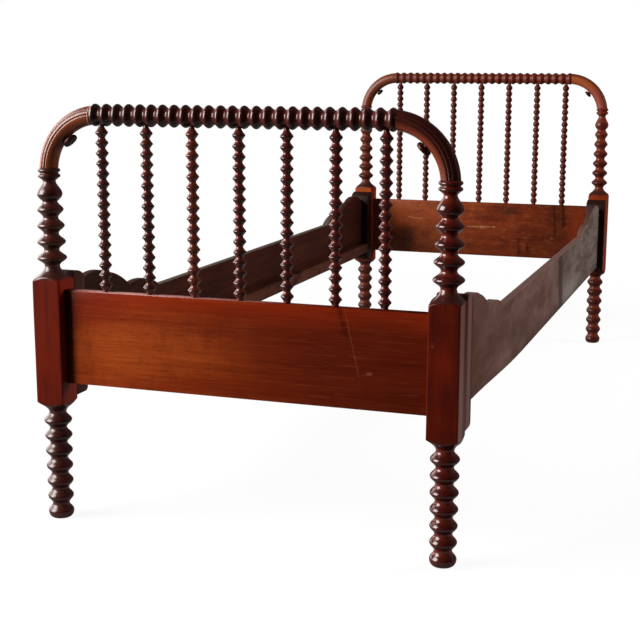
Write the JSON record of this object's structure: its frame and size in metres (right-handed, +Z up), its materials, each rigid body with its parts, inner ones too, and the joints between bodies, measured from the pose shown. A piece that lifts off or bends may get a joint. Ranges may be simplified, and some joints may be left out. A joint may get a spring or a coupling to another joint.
{
  "type": "spool-turned wooden bedstead",
  "caption": "Narrow antique wooden bedstead: spool-turned posts and spindles, bent-elbow top rails, plank panels and scrolled side rails that lift off hidden hooks.",
  "frame": {"origin": "on the floor under the middle of the bed, at the centre of the bottom of the bounding box", "axes": "+Y along the bed from the footboard to the headboard, +Z up, +X to the right when seen from the footboard"},
  "size_m": [0.804, 2.014, 0.8292],
  "materials": {
    "turned_wood": "gloss",
    "panel_wood": "gloss",
    "rail_wood": "satin",
    "peg_wood": "satin",
    "wrought_iron": "rough"
  },
  "bodies": {
    "bed_ends": {"foot_left_post": "turned_wood", "foot_right_post": "turned_wood", "head_left_post": "turned_wood", "head_right_post": "turned_wood", "foot_left_elbow": "turned_wood", "foot_right_elbow": "turned_wood", "head_left_elbow": "turned_wood", "head_right_elbow": "turned_wood", "foot_left_button": "turned_wood", "foot_right_button": "turned_wood", "head_left_button": "turned_wood", "head_right_button": "turned_wood", "foot_top_rail": "turned_wood", "head_top_rail": "turned_wood", "foot_panel": "panel_wood", "head_panel": "panel_wood", "foot_spindle_1": "turned_wood", "foot_spindle_2": "turned_wood", "foot_spindle_3": "turned_wood", "foot_spindle_4": "turned_wood", "foot_spindle_5": "turned_wood", "foot_spindle_6": "turned_wood", "foot_spindle_7": "turned_wood", "head_spindle_1": "turned_wood", "head_spindle_2": "turned_wood", "head_spindle_3": "turned_wood", "head_spindle_4": "turned_wood", "head_spindle_5": "turned_wood", "head_spindle_6": "turned_wood", "head_spindle_7": "turned_wood", "foot_panel_pegs": "peg_wood", "head_panel_pegs": "peg_wood", "foot_hook_pins": "wrought_iron", "head_hook_pins": "wrought_iron"},
    "left_rail": {"left_side_rail": "rail_wood", "left_slat_cleat": "rail_wood", "left_foot_end_block": "rail_wood", "left_head_end_block": "rail_wood", "left_foot_hook_plate": "wrought_iron", "left_head_hook_plate": "wrought_iron", "left_rail_fixings": "wrought_iron"},
    "right_rail": {"right_side_rail": "rail_wood", "right_slat_cleat": "rail_wood", "right_foot_end_block": "rail_wood", "right_head_end_block": "rail_wood", "right_foot_hook_plate": "wrought_iron", "right_head_hook_plate": "wrought_iron", "right_rail_fixings": "wrought_iron"}
  },
  "joints": [
    {"name": "left_rail_lift", "type": "slide", "parent": "bed_ends", "child": "left_rail", "axis": [0, 0, 1], "range_m": [0, 0.014]},
    {"name": "right_rail_lift", "type": "slide", "parent": "bed_ends", "child": "right_rail", "axis": [0, 0, 1], "range_m": [0, 0.014]}
  ]
}
